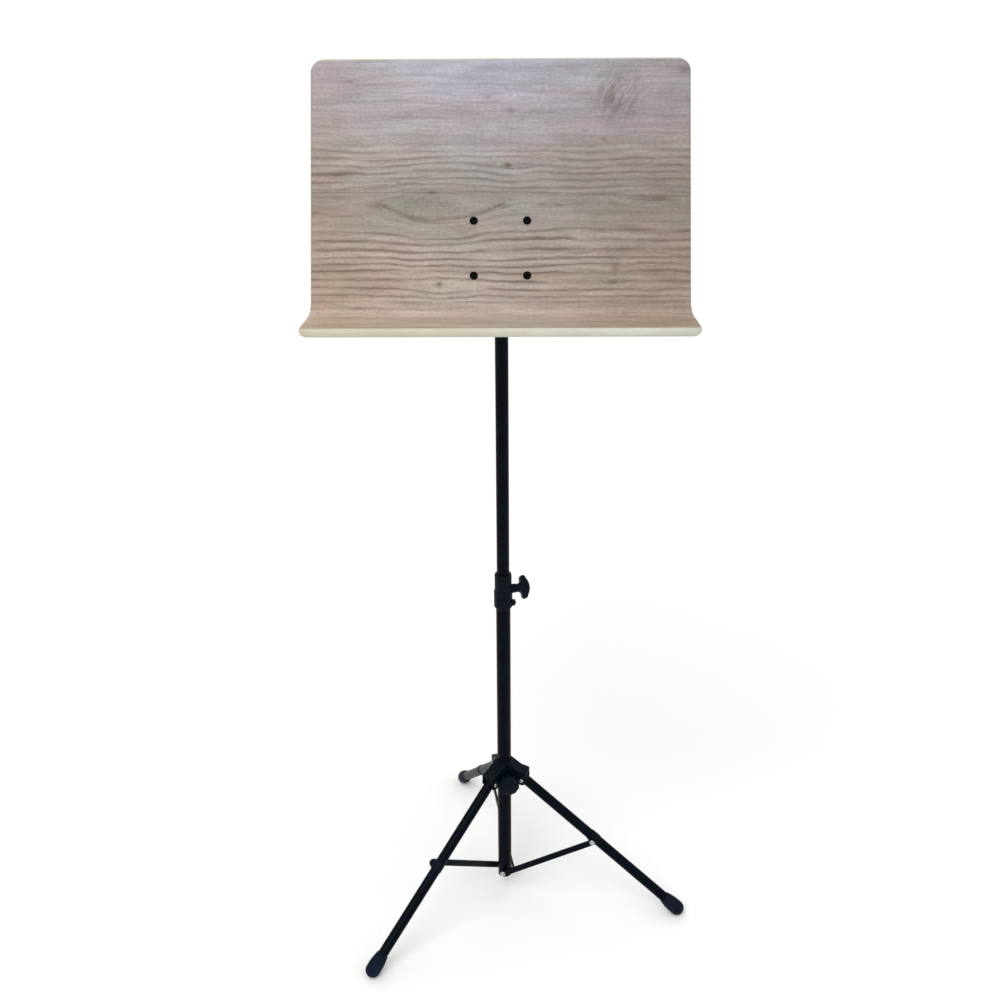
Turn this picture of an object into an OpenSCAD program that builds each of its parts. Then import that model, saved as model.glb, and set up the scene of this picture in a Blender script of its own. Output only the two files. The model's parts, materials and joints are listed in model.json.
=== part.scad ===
// Music stand: a bent wooden desk on a telescopic steel mast with a folding tripod.
// Millimetres, +Z up, origin on the floor under the mast axis, desk facing -Y.

/* [Desk] */
// Width of the desk's face
desk_w = 500; // [400:5:560]
// Height of the face above the centre of its bolts
desk_rise = 250.5; // [200:0.5:300]
// Height of the face below the centre of its bolts, down to the lip
desk_drop = 88; // [85:0.5:120]
// Depth of the lip, from the face to its front edge
lip_depth = 80; // [50:1:100]
// Angle by which the lip opens beyond square to the face
lip_slope = 20; // [5:1:30]
// How much wider the lip is than the face, on each side
lip_flare = 4.5; // [1:0.5:8]
// Inside radius of the bend between the face and the lip
bend_r = 16; // [10:1:25]
// Radius of the face's top corners
top_corner_r = 18; // [8:1:30]
// Radius of the lip's front corners
lip_corner_r = 14; // [8:1:20]
// Thickness of the moulded board
board_t = 12; // [9:0.5:15]
// Thickness of the wood-grain laminate
laminate_t = 0.8; // [0.5:0.1:1.5]
// Edge of the board left bare beside the laminate
bare_side = 1; // [0.5:0.5:5]
// Edge of the board left bare above the laminate and in front of it
bare_end = 2; // [1:0.5:8]
// Lean of the desk, back from upright
desk_tilt = 24; // [0:1:60]

/* [Tilt bracket] */
// Distance between the bolt columns
bolt_pitch_x = 70; // [60:1:90]
// Distance between the bolt rows
bolt_pitch_v = 72; // [60:1:90]
// Diameter of the desk bolts
desk_bolt_d = 6; // [5:1:6]
// Sheet thickness of the bracket
bracket_t = 3; // [2:0.5:4]
// Distance from the bracket's plate to the tilt pivot
pivot_standoff = 40; // [36:1:60]
// Diameter of the tilt bolt
tilt_bolt_d = 8; // [6:1:8]

/* [Mast] */
// Height of the tilt pivot above the floor
tilt_pivot_z = 1076; // [1060:1:1110]
// Outside diameter of the upper tube
upper_tube_d = 19; // [18:0.25:19]
// Wall of the upper tube
upper_tube_wall = 1; // [0.8:0.1:1.5]
// Length of the upper tube
upper_tube_len = 580; // [560:5:600]
// Outside diameter of the lower tube
lower_tube_d = 22; // [22:0.5:23]
// Wall of the lower tube
lower_tube_wall = 1.2; // [1:0.1:1.2]
// Height of the lower tube's bottom end above the floor
mast_bottom_z = 22.5; // [20:0.5:24]
// Height of the step in the clamp collar above the floor
collar_step_z = 565; // [500:1:575]

/* [Tripod] */
// Direction of the left leg round the mast
left_leg_turn = 226; // [220:1:230]
// Height of the leg pivots above the floor
leg_pivot_z = 225.5; // [222:0.5:236]
// Distance of the leg pivots from the mast axis
leg_pivot_r = 31; // [30:0.5:34]
// Distance of the feet's tips from the mast axis
foot_circle_r = 292; // [260:1:320]
// Outside diameter of the leg tubes
leg_d = 16; // [14:0.5:16]
// Diameter of the rubber feet
foot_d = 24; // [22:0.5:26]
// Length of the rubber feet
foot_len = 40; // [36:1:48]
// Height of the struts' inner pivots above the floor
strut_pivot_z = 31.5; // [31:0.5:35]
// Distance along a leg from its pivot to its strut
leg_to_strut = 154.5; // [130:0.5:180]
// Distance of each strut's middle plane from its leg's middle plane
strut_side = 14; // [14:0.25:16]
// Height of the strut bars
strut_h = 10; // [8:0.5:12]
// Thickness of the strut bars
strut_t = 2.8; // [2:0.1:2.8]

/* [Knobs] */
// Direction of the height knob round the mast
height_knob_turn = 15; // [0:5:90]
// Lean of the height knob's bar from upright
height_knob_roll = -35; // [-90:5:90]
// Direction of the hub knob round the mast
hub_knob_turn = 284; // [282:1:290]
// Length of a wing knob's bar
wing_len = 36; // [30:1:42]
// Diameter of the hub knob
hub_knob_d = 34; // [30:1:35]

/* [Hidden] */
$fn = 64;
eps = 0.01;

// Directions of the three legs round the mast, seen from above.
left = left_leg_turn;
right = left_leg_turn + 120;
rear = left_leg_turn - 120;

// Radial room in a running fit, in a snug fit within one body, and between parts that pass.
run = 0.08;
snug = 0.03;
pass = 0.3;

steel_black = [0.06, 0.065, 0.075];
plastic_black = [0.045, 0.05, 0.055];
zinc = [0.62, 0.63, 0.66];
brass = [0.72, 0.58, 0.28];
nylon = [0.13, 0.13, 0.14];
rubber_black = [0.05, 0.05, 0.05];
edge_cream = [0.84, 0.81, 0.72];
wood_grey = [0.66, 0.6, 0.56];

// Mast.
lower_r = lower_tube_d / 2;
lower_bore_r = lower_r - lower_tube_wall;
upper_r = upper_tube_d / 2;
upper_bore_r = upper_r - upper_tube_wall;
collar_bottom_z = collar_step_z - 29;
collar_top_z = collar_step_z + 28;
collar_low_r = 14.1;
collar_high_r = 12.9;
lower_tube_top_z = collar_step_z - 7;
liner_flange_t = 1.8;
liner_slit_w = 1.5;
head_cap_t = 4;
head_shoulder_z = tilt_pivot_z - 19;
upper_tube_top_z = head_shoulder_z - head_cap_t;
upper_tube_bottom_z = upper_tube_top_z - upper_tube_len;
guide_rim_t = 12;

// Height clamp.
height_knob_z = collar_step_z + 1;
boss_r = 7;
boss_end = 20;
insert_r = 5.5;
insert_len = 6.6;
stud_r = 4;
height_stud_grip = 12;
hub_stud_grip = 8;
pad_r = 4.4;
pad_t = 1.9;
knob_gap = 0.3;
wing_neck_r = 6.3;
wing_neck_len = 7;
wing_head_t = 13.5;
wing_end_r = 4.5;
wing_fillet_r = 4;
wing_t = 11.5;
lug_r = 5.2;
lug_end = 18;
lug_z = collar_bottom_z + 9.5;
lug_turn = -12;

// Tilt head and bracket, the bracket in the desk's own frame: X right, Y back from the face, Z up it.
sheet_t = board_t + laminate_t;
plate_back = sheet_t + bracket_t;
pivot_back = plate_back + pivot_standoff;
tongue_half = 9;
eye_r = 13;
washer_t = 1;
side_gap = 0.1;
ear_in = tongue_half + washer_t + 2 * side_gap;
ear_out = ear_in + bracket_t;
plate_w = bolt_pitch_x + 22;
plate_h = bolt_pitch_v + 22;
ear_root_half = 22;
tilt_bolt_r = tilt_bolt_d / 2;
desk_bolt_r = desk_bolt_d / 2;
desk_washer_r = 7;
desk_washer_t = 1.5;

// Tripod: the legs and struts make three four-bar folds on the mast.
foot_r = foot_d / 2;
foot_flat = 0.4;
tip_z = foot_r - foot_flat;
leg_run = foot_circle_r - leg_pivot_r;
leg_fall = leg_pivot_z - tip_z;
leg_len = sqrt(leg_run * leg_run + leg_fall * leg_fall);
leg_lean = atan2(leg_run, leg_fall);
leg_r = leg_d / 2;
leg_bore_r = leg_r - 1.2;
leg_end = 5;
leg_dome_r = 9.45;
clip_r = leg_pivot_r + leg_to_strut * sin(leg_lean);
clip_z = leg_pivot_z - leg_to_strut * cos(leg_lean);
strut_len = sqrt(pow(clip_r, 2) + pow(clip_z - strut_pivot_z, 2));
strut_lean = atan2(clip_r, clip_z - strut_pivot_z);
rivet_r = 2.5;
rivet_head_r = 4.6;
rivet_head_t = 2;
strut_face = strut_side - strut_t / 2;
strut_back = strut_side + strut_t / 2;

// Hub, its heights counted from the leg pivots.
hub_r = 13.2;
hub_top = 32;
hub_bottom = -22;
hub_slot_half = leg_r + pass;
hub_arm_half = hub_slot_half + 2.9;
hub_slot_in = leg_pivot_r - 10.5;
hub_slot_top = 10.5;
hub_eye_r = 9;
hub_knob_drop = 1;
hub_boss_r = 8;
hub_boss_end = 23;
hub_insert_len = 8.5;
hub_knob_t = 12;
hub_knob_neck = 2;

// ---- Shared shapes ----

// A tube along Z from z0 to z1.
module tube(r_out, r_in, z0, z1) {
    difference() {
        translate([0, 0, z0]) cylinder(r = r_out, h = z1 - z0);
        translate([0, 0, z0 - 1]) cylinder(r = r_in, h = z1 - z0 + 2);
    }
}

// A domed head: a disc of radius r whose top bulges to height t.
module domed_head(r, t) {
    sphere_r = (r * r + t * t) / (2 * t);
    intersection() {
        cylinder(r = r, h = t);
        translate([0, 0, t - sphere_r]) sphere(r = sphere_r, $fn = 96);
    }
}

// Puts its children's Z axis along a radius of the mast, at height z and direction turn.
module radial(z, turn) {
    translate([0, 0, z]) rotate([0, 0, turn]) rotate([0, 90, 0]) children();
}

// Puts its children's Z axis down a leg from its pivot; -Y is the side where the strut lies.
module on_leg(turn) {
    rotate([0, 0, turn]) translate([leg_pivot_r, 0, leg_pivot_z])
        rotate([0, 180 - leg_lean, 0]) children();
}

// Puts its children's Z axis up a strut from its inner pivot, in the strut's middle plane.
module on_strut(turn) {
    rotate([0, 0, turn]) translate([0, -strut_side, strut_pivot_z])
        rotate([0, strut_lean, 0]) children();
}

// A cylinder along -Y from distance y0 to y1, for the pivots of legs and struts.
module cross_rod(r, y0, y1) {
    translate([0, -y0, 0]) rotate([90, 0, 0]) cylinder(r = r, h = y1 - y0);
}

// Puts its children in the desk's frame: origin at the bolts' centre on the face.
module on_desk() {
    translate([0, 0, tilt_pivot_z]) rotate([-desk_tilt, 0, 0]) translate([0, -pivot_back, 0]) children();
}

module at_desk_bolts() {
    for (x = [-1, 1], v = [-1, 1])
        translate([x * bolt_pitch_x / 2, 0, v * bolt_pitch_v / 2]) children();
}

// The moulded grip of a wing knob; its neck starts at Z = 0 and its bar lies along X.
module wing_grip() {
    crown_drop = wing_head_t - 2 * wing_end_r;
    crown_half = wing_len / 2 - wing_end_r;
    crown_r = (pow(crown_half, 2) + pow(crown_drop, 2)) / (2 * crown_drop);
    cylinder(r = wing_neck_r, h = wing_neck_len + 3);
    translate([0, wing_t / 2, 0]) rotate([90, 0, 0]) linear_extrude(wing_t) {
        for (side = [-1, 1])
            translate([side * crown_half, wing_neck_len + wing_end_r]) circle(r = wing_end_r);
        difference() {
            translate([-wing_neck_r - wing_fillet_r, wing_neck_len - wing_fillet_r])
                square([2 * (wing_neck_r + wing_fillet_r), wing_fillet_r + 1]);
            for (side = [-1, 1])
                translate([side * (wing_neck_r + wing_fillet_r), wing_neck_len - wing_fillet_r])
                    circle(r = wing_fillet_r);
        }
        intersection() {
            translate([-crown_half, wing_neck_len]) square([2 * crown_half, wing_head_t]);
            translate([0, wing_neck_len + wing_head_t - crown_r]) circle(r = crown_r, $fn = 128);
        }
    }
}

// ---- Mast ----

module lower_tube() {
    color(steel_black) difference() {
        tube(lower_r, lower_bore_r, mast_bottom_z, lower_tube_top_z);
        for (turn = [left, right, rear])
            translate([0, 0, strut_pivot_z]) rotate([0, 0, turn])
                cross_rod(rivet_r + snug, lower_bore_r - 2, lower_r + 1);
        radial(lug_z, lug_turn) cylinder(r = 1.5, h = lower_r + 1);
    }
}

module bottom_plug() {
    rim_t = 4;
    color(plastic_black) difference() {
        union() {
            translate([0, 0, mast_bottom_z]) cylinder(r = lower_bore_r - snug, h = 24);
            translate([0, 0, mast_bottom_z]) mirror([0, 0, 1]) domed_head(lower_r, rim_t);
        }
        for (turn = [left, right, rear])
            translate([0, 0, strut_pivot_z]) rotate([0, 0, turn])
                cross_rod(rivet_r + snug, 3, lower_r + 1);
    }
}

module strut_pins() {
    shoulder_r = 4.5;
    color(zinc) for (turn = [left, right, rear])
        translate([0, 0, strut_pivot_z]) rotate([0, 0, turn]) {
            cross_rod(rivet_r, 4, strut_back + 1);
            cross_rod(shoulder_r, lower_r + 0.1, strut_face - pass / 2);
            translate([0, -strut_back - pass / 2, 0]) rotate([90, 0, 0])
                domed_head(rivet_head_r, rivet_head_t);
        }
}

module clamp_collar() {
    lip_t = 3;
    color(plastic_black) difference() {
        union() {
            translate([0, 0, collar_bottom_z + lip_t])
                cylinder(r = collar_low_r, h = collar_step_z - collar_bottom_z - lip_t);
            translate([0, 0, collar_bottom_z])
                cylinder(r1 = collar_low_r - 1.6, r2 = collar_low_r, h = lip_t);
            translate([0, 0, collar_step_z - eps])
                cylinder(r = collar_high_r, h = collar_top_z - collar_step_z - liner_flange_t + eps);
            radial(height_knob_z, height_knob_turn) cylinder(r = boss_r, h = boss_end);
            radial(lug_z, lug_turn) cylinder(r = lug_r, h = lug_end);
        }
        translate([0, 0, collar_bottom_z - 1])
            cylinder(r = lower_r + run, h = collar_top_z - collar_bottom_z + 2);
        radial(height_knob_z, height_knob_turn) {
            cylinder(r = pad_r + snug, h = boss_end + 1);
            translate([0, 0, boss_end - insert_len]) cylinder(r = insert_r, h = insert_len + 1);
        }
        radial(lug_z, lug_turn) cylinder(r = 1.5 + snug, h = lug_end + 1);
    }
}

module collar_insert() {
    color(brass) radial(height_knob_z, height_knob_turn)
        tube(insert_r - snug, stud_r + run, boss_end - insert_len, boss_end);
}

module collar_screw() {
    shank_start = lower_bore_r + 0.1;
    color(steel_black) radial(lug_z, lug_turn) {
        translate([0, 0, shank_start]) cylinder(r = 1.5, h = lug_end + 0.5 - shank_start);
        translate([0, 0, lug_end]) difference() {
            domed_head(3.6, 2);
            translate([-2.2, -0.4, 1.1]) cube([4.4, 0.8, 2]);
            translate([-0.4, -2.2, 1.1]) cube([0.8, 4.4, 2]);
        }
    }
}

module height_pad() {
    color(nylon) radial(height_knob_z, height_knob_turn)
        translate([0, 0, lower_r + pass]) cylinder(r = pad_r, h = pad_t);
}

module collar_liner() {
    liner_bottom_z = lower_tube_top_z + 0.5;
    flange_z = collar_top_z - liner_flange_t;
    color(nylon) difference() {
        union() {
            tube(lower_r, upper_r + run, liner_bottom_z, flange_z + 0.3);
            tube(collar_high_r - 0.4, upper_r + run, flange_z + 0.1, collar_top_z);
        }
        rotate([0, 0, 200]) translate([upper_r - 1, -liner_slit_w / 2, liner_bottom_z - 1])
            cube([10, liner_slit_w, collar_top_z - liner_bottom_z + 2]);
    }
}

module height_knob() {
    color(plastic_black) radial(height_knob_z, height_knob_turn)
        translate([0, 0, boss_end + knob_gap]) rotate([0, 0, height_knob_roll]) difference() {
            wing_grip();
            translate([0, 0, -1]) cylinder(r = stud_r + snug, h = height_stud_grip + 1.2);
        }
}

module height_stud() {
    stud_start = lower_r + pass + pad_t + 0.1;
    color(zinc) radial(height_knob_z, height_knob_turn)
        translate([0, 0, stud_start]) cylinder(r = stud_r, h = boss_end + knob_gap + height_stud_grip - stud_start);
}

module upper_tube() {
    color(steel_black) difference() {
        tube(upper_r, upper_bore_r, upper_tube_bottom_z, upper_tube_top_z);
        translate([0, 0, head_shoulder_z - 15]) rotate([90, 0, 0]) cylinder(r = 2 + snug, h = 60, center = true);
    }
}

module tube_guide() {
    spigot_len = 18;
    color(nylon) union() {
        translate([0, 0, upper_tube_bottom_z - guide_rim_t]) cylinder(r = lower_bore_r - run, h = guide_rim_t);
        translate([0, 0, upper_tube_bottom_z - eps]) cylinder(r = upper_bore_r - snug, h = spigot_len);
    }
}

module tilt_head() {
    sleeve_r = 12.5;
    sleeve_len = 26;
    sleeve_top_z = tilt_pivot_z - 25;
    neck_r = 12;
    color(plastic_black) difference() {
        union() {
            translate([0, 0, sleeve_top_z - sleeve_len]) cylinder(r = sleeve_r, h = sleeve_len);
            intersection() {
                translate([0, 0, sleeve_top_z - 2]) cylinder(r = neck_r, h = 28);
                translate([-tongue_half, -neck_r, sleeve_top_z - 2]) cube([2 * tongue_half, 2 * neck_r, 28]);
            }
            translate([-tongue_half, 0, tilt_pivot_z]) rotate([0, 90, 0]) cylinder(r = eye_r - 0.5, h = 2 * tongue_half);
        }
        translate([0, 0, sleeve_top_z - sleeve_len - 1])
            cylinder(r = upper_r + snug, h = upper_tube_top_z - sleeve_top_z + sleeve_len + 1);
        translate([0, 0, tilt_pivot_z]) rotate([0, 90, 0]) cylinder(r = tilt_bolt_r + run, h = 60, center = true);
        translate([0, 0, head_shoulder_z - 15]) rotate([90, 0, 0]) cylinder(r = 2 + snug, h = 60, center = true);
    }
}

module head_pin() {
    color(zinc) translate([0, 0, head_shoulder_z - 15]) rotate([90, 0, 0])
        cylinder(r = 2, h = 25.4, center = true);
}

// ---- Desk ----

// Side view of a bent sheet, from depth front to depth back behind the face; X is forward of the face,
// Y is up it. The sheet runs from top down the face, round the bend and out to reach along the lip.
module bent_profile(front, back, top, reach) {
    turn = 90 - lip_slope;
    tangent = bend_r * tan(turn / 2);
    bend_y = tangent - desk_drop;
    wedge = 3 * (bend_r + back);
    translate([-back, bend_y]) square([back - front, top - bend_y]);
    translate([0, -desk_drop]) rotate(-lip_slope)
        translate([tangent, -back]) square([reach - tangent, back - front]);
    translate([bend_r, bend_y]) intersection() {
        difference() {
            circle(r = bend_r + back, $fn = 128);
            circle(r = bend_r + front, $fn = 128);
        }
        polygon([[0, 0], [-wedge, 0], [-wedge, -wedge], wedge * [-sin(lip_slope), -cos(lip_slope)]]);
    }
}

// What a square corner of radius r loses; the corner points to +X, +Y from the origin.
module corner_waste(r) {
    difference() {
        translate([-r, -r]) square([r + 5, r + 5]);
        translate([-r, -r]) circle(r = r);
    }
}

// The bent sheet with its outline: round top corners, a flare above the lip and round lip corners.
module bent_panel(front, back, side_in, end_in) {
    half = desk_w / 2 - side_in;
    lip_half = half + lip_flare;
    top = desk_rise - end_in;
    reach = lip_depth - end_in;
    flare_h = 20;
    flare_r = (flare_h * flare_h + lip_flare * lip_flare) / (2 * lip_flare);
    flare_top = flare_h - desk_drop - 3;
    difference() {
        translate([-lip_half, 0, 0]) rotate([90, 0, 90]) mirror([1, 0, 0])
            linear_extrude(2 * lip_half) bent_profile(front, back, top, reach);
        for (side = [0, 1]) mirror([side, 0, 0]) {
            translate([0, 60, 0]) rotate([90, 0, 0]) linear_extrude(120) {
                translate([half, flare_top]) square([lip_flare + 1, top - flare_top + 1]);
                translate([half + flare_r, flare_top]) circle(r = flare_r, $fn = 128);
                translate([half, top]) corner_waste(top_corner_r - side_in);
            }
            translate([0, 0, -desk_drop]) rotate([-lip_slope - 90, 0, 0]) mirror([0, 0, 1])
                translate([lip_half, reach, -bend_r]) linear_extrude(60)
                    corner_waste(lip_corner_r - side_in);
        }
    }
}

module desk_board() {
    color(edge_cream) on_desk() difference() {
        bent_panel(laminate_t, sheet_t, 0, 0);
        at_desk_bolts() rotate([-90, 0, 0]) cylinder(r = desk_bolt_r + 0.2, h = 60, center = true);
    }
}

module desk_laminate() {
    color(wood_grey) on_desk() difference() {
        bent_panel(0, laminate_t, bare_side, bare_end);
        at_desk_bolts() rotate([-90, 0, 0]) cylinder(r = desk_bolt_r + 0.2, h = 60, center = true);
    }
}

module desk_bolts() {
    head_r = 5.5;
    head_t = 3.2;
    key_r = 2.3;
    key_depth = 2;
    color(steel_black) on_desk() at_desk_bolts() {
        rotate([90, 0, 0]) difference() {
            domed_head(head_r, head_t);
            translate([0, 0, head_t - key_depth]) cylinder(r = key_r, h = key_depth + 1, $fn = 6);
        }
        rotate([-90, 0, 0]) translate([0, 0, -eps]) cylinder(r = desk_bolt_r, h = plate_back + 8);
    }
}

module desk_washers() {
    color(zinc) on_desk() at_desk_bolts() translate([0, plate_back, 0]) rotate([-90, 0, 0])
        tube(desk_washer_r, desk_bolt_r + 0.2, 0, desk_washer_t);
}

module desk_nuts() {
    nut_t = 5;
    color(zinc) on_desk() at_desk_bolts() translate([0, plate_back + desk_washer_t, 0]) rotate([-90, 0, 0])
        difference() {
            cylinder(r = 5.8, h = nut_t, $fn = 6);
            translate([0, 0, -1]) cylinder(r = desk_bolt_r + snug, h = nut_t + 2);
        }
}

module tilt_bracket() {
    ear_tip = pivot_standoff;
    color(steel_black) on_desk() difference() {
        union() {
            translate([-plate_w / 2, sheet_t, -plate_h / 2]) cube([plate_w, bracket_t, plate_h]);
            for (side = [0, 1]) mirror([side, 0, 0]) translate([ear_in, plate_back, 0])
                rotate([90, 0, 90]) linear_extrude(bracket_t) {
                    polygon([[-eps, -ear_root_half], [-eps, ear_root_half], [ear_tip, eye_r], [ear_tip, -eye_r]]);
                    translate([ear_tip, 0]) circle(r = eye_r);
                }
        }
        at_desk_bolts() rotate([-90, 0, 0]) cylinder(r = desk_bolt_r + 0.2, h = 60, center = true);
        translate([0, pivot_back, 0]) rotate([0, 90, 0]) cylinder(r = tilt_bolt_r + snug, h = 60, center = true);
    }
}

module tilt_bolt() {
    head_t = 4.5;
    shank_end = ear_out + 16;
    color(zinc) on_desk() translate([0, pivot_back, 0]) rotate([0, 90, 0]) {
        translate([0, 0, -ear_out - head_t]) cylinder(r = 7.3, h = head_t, $fn = 6);
        translate([0, 0, -ear_out - eps]) cylinder(r = tilt_bolt_r, h = ear_out + shank_end);
    }
}

module tilt_washers() {
    color(nylon) on_desk() translate([0, pivot_back, 0]) rotate([0, 90, 0]) {
        for (side = [0, 1]) mirror([0, 0, side])
            tube(eye_r - 2, tilt_bolt_r + run, tongue_half + side_gap, tongue_half + side_gap + washer_t);
        tube(8, tilt_bolt_r + run, ear_out, ear_out + washer_t);
    }
}

module tilt_knob() {
    color(plastic_black) on_desk() translate([ear_out + washer_t + knob_gap, pivot_back, 0])
        rotate([0, 90, 0]) difference() {
            wing_grip();
            translate([0, 0, -1]) cylinder(r = insert_r + snug, h = 17);
        }
}

module tilt_insert() {
    color(brass) on_desk() translate([ear_out + washer_t + knob_gap, pivot_back, 0])
        rotate([0, 90, 0]) tube(insert_r, tilt_bolt_r + run, 0, 14);
}

// ---- Tripod ----

// Side view of one arm of the hub: X from the mast axis, Y up from the leg pivot.
module hub_arm_outline() {
    arm_end = leg_pivot_r + 8.5;
    arm_top = 29.4;
    shoulder_z = 17.5;
    roof_end_z = 14;
    polygon([
        [0, arm_top], [10, arm_top], [leg_pivot_r - 4.5, shoulder_z], [arm_end - 1, roof_end_z + 0.3],
        [arm_end, roof_end_z - 1], [arm_end, -3], [leg_pivot_r + 5, -5], [leg_pivot_r - 4, -6],
        [hub_r, -14], [0, -14]
    ]);
    translate([leg_pivot_r, 0]) circle(r = hub_eye_r);
}

module hub_body() {
    color(plastic_black) difference() {
        union() {
            translate([0, 0, leg_pivot_z + hub_bottom]) cylinder(r = hub_r, h = hub_top - hub_bottom);
            for (turn = [left, right, rear])
                translate([0, 0, leg_pivot_z]) rotate([0, 0, turn]) translate([0, hub_arm_half, 0])
                    rotate([90, 0, 0]) linear_extrude(2 * hub_arm_half) hub_arm_outline();
            radial(leg_pivot_z - hub_knob_drop, hub_knob_turn) cylinder(r = hub_boss_r, h = hub_boss_end);
        }
        translate([0, 0, leg_pivot_z + hub_bottom - 1])
            cylinder(r = lower_r + run, h = hub_top - hub_bottom + 2);
        for (turn = [left, right, rear]) translate([0, 0, leg_pivot_z]) rotate([0, 0, turn]) {
            translate([hub_slot_in, -hub_slot_half, hub_slot_top - 40])
                cube([40, 2 * hub_slot_half, 40]);
            translate([leg_pivot_r, 0, 0]) cross_rod(rivet_r + snug, -30, 30);
        }
        radial(leg_pivot_z - hub_knob_drop, hub_knob_turn) {
            cylinder(r = pad_r + snug, h = hub_boss_end + 1);
            translate([0, 0, hub_boss_end - hub_insert_len]) cylinder(r = insert_r, h = hub_insert_len + 1);
        }
    }
}

module hub_rivets() {
    color(zinc) for (turn = [left, right, rear])
        rotate([0, 0, turn]) translate([leg_pivot_r, 0, leg_pivot_z]) {
            cross_rod(rivet_r, -hub_arm_half - 1, hub_arm_half + 1);
            for (side = [0, 1]) mirror([0, side, 0]) translate([0, -hub_arm_half, 0])
                rotate([90, 0, 0]) domed_head(rivet_head_r, rivet_head_t);
        }
}

module hub_insert() {
    color(brass) radial(leg_pivot_z - hub_knob_drop, hub_knob_turn)
        tube(insert_r - snug, stud_r + run, hub_boss_end - hub_insert_len, hub_boss_end);
}

module hub_pad() {
    color(nylon) radial(leg_pivot_z - hub_knob_drop, hub_knob_turn)
        translate([0, 0, lower_r + pass]) cylinder(r = pad_r, h = pad_t);
}

module hub_knob() {
    knob_r = hub_knob_d / 2;
    scallops = 10;
    scallop_r = 6;
    scallop_depth = 1;
    color(plastic_black) radial(leg_pivot_z - hub_knob_drop, hub_knob_turn)
        translate([0, 0, hub_boss_end + knob_gap]) difference() {
            union() {
                cylinder(r = 7, h = hub_knob_neck + 1);
                translate([0, 0, hub_knob_neck]) cylinder(r = knob_r, h = hub_knob_t - 3);
                translate([0, 0, hub_knob_neck + hub_knob_t - 3 - eps]) domed_head(knob_r, 3);
            }
            for (i = [0 : scallops - 1]) rotate([0, 0, (i + 0.5) * 360 / scallops])
                translate([knob_r + scallop_r - scallop_depth, 0, -1]) cylinder(r = scallop_r, h = hub_knob_t + 5);
            translate([0, 0, -1]) cylinder(r = stud_r + snug, h = hub_stud_grip + 1.2);
        }
}

module hub_stud() {
    stud_start = lower_r + pass + pad_t + 0.1;
    color(zinc) radial(leg_pivot_z - hub_knob_drop, hub_knob_turn)
        translate([0, 0, stud_start])
            cylinder(r = stud_r, h = hub_boss_end + knob_gap + hub_stud_grip - stud_start);
}

module leg_tube(turn) {
    tube_end = leg_len - 14;
    color(steel_black) on_leg(turn) difference() {
        tube(leg_r, leg_bore_r, -leg_end, tube_end);
        cross_rod(rivet_r + run, -30, 30);
    }
}

module leg_plug(turn) {
    spigot_end = 16;
    color(plastic_black) on_leg(turn) difference() {
        union() {
            translate([0, 0, -leg_end - eps]) cylinder(r = leg_bore_r - snug, h = leg_end + spigot_end);
            intersection() {
                sphere(r = leg_dome_r, $fn = 96);
                translate([0, 0, -leg_end - 8]) cylinder(r = leg_r, h = 8);
            }
        }
        cross_rod(rivet_r + run, -30, 30);
    }
}

module foot(turn) {
    straight = foot_len - foot_d;
    color(rubber_black) difference() {
        on_leg(turn) difference() {
            union() {
                translate([0, 0, leg_len]) sphere(r = foot_r, $fn = 96);
                translate([0, 0, leg_len - straight]) cylinder(r = foot_r, h = straight, $fn = 96);
                translate([0, 0, leg_len - straight]) sphere(r = foot_r, $fn = 96);
            }
            translate([0, 0, leg_len - 60]) cylinder(r = leg_r + snug, h = 46 + eps);
        }
        translate([-500, -500, -50]) cube([1000, 1000, 50]);
    }
}

module leg_clip(turn) {
    band_r = leg_r + 2.4;
    clip_boss_r = 7;
    color(plastic_black) on_leg(turn) translate([0, 0, leg_to_strut]) difference() {
        union() {
            translate([0, 0, -8]) cylinder(r = band_r, h = 16);
            cross_rod(clip_boss_r, 0, strut_face - pass);
        }
        translate([0, 0, -20]) cylinder(r = leg_r + snug, h = 40);
    }
}

module strut(turn) {
    color(steel_black) on_strut(turn) translate([0, strut_t / 2, 0]) rotate([90, 0, 0])
        linear_extrude(strut_t) difference() {
            union() {
                translate([-strut_h / 2, 0]) square([strut_h, strut_len]);
                circle(r = strut_h / 2);
                translate([0, strut_len]) circle(r = strut_h / 2);
            }
            circle(r = rivet_r + run);
            translate([0, strut_len]) circle(r = rivet_r + snug);
        }
}

module strut_rivet(turn) {
    color(zinc) on_strut(turn) translate([0, 0, strut_len]) {
        cross_rod(rivet_r, -strut_t / 2 - pass / 3, strut_t / 2 + 0.5);
        translate([0, -strut_t / 2, 0]) rotate([90, 0, 0]) domed_head(rivet_head_r, rivet_head_t);
    }
}

lower_tube();
bottom_plug();
strut_pins();
clamp_collar();
collar_insert();
collar_screw();
height_pad();
collar_liner();
height_knob();
height_stud();
upper_tube();
tube_guide();
tilt_head();
head_pin();
desk_board();
desk_laminate();
desk_bolts();
desk_washers();
desk_nuts();
tilt_bracket();
tilt_bolt();
tilt_washers();
tilt_knob();
tilt_insert();
hub_body();
hub_rivets();
hub_insert();
hub_pad();
hub_knob();
hub_stud();
leg_tube(left);  // leg_tube_left
leg_tube(right);  // leg_tube_right
leg_tube(rear);  // leg_tube_rear
leg_plug(left);  // leg_plug_left
leg_plug(right);  // leg_plug_right
leg_plug(rear);  // leg_plug_rear
foot(left);  // foot_left
foot(right);  // foot_right
foot(rear);  // foot_rear
leg_clip(left);  // leg_clip_left
leg_clip(right);  // leg_clip_right
leg_clip(rear);  // leg_clip_rear
strut(left);  // strut_left
strut(right);  // strut_right
strut(rear);  // strut_rear
strut_rivet(left);  // strut_rivet_left
strut_rivet(right);  // strut_rivet_right
strut_rivet(rear);  // strut_rivet_rear
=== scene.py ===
"""Music stand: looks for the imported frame. Metres, +Z up, the desk faces -Y."""

import json
import math

import bmesh
import bpy
from mathutils import Matrix, Vector


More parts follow.
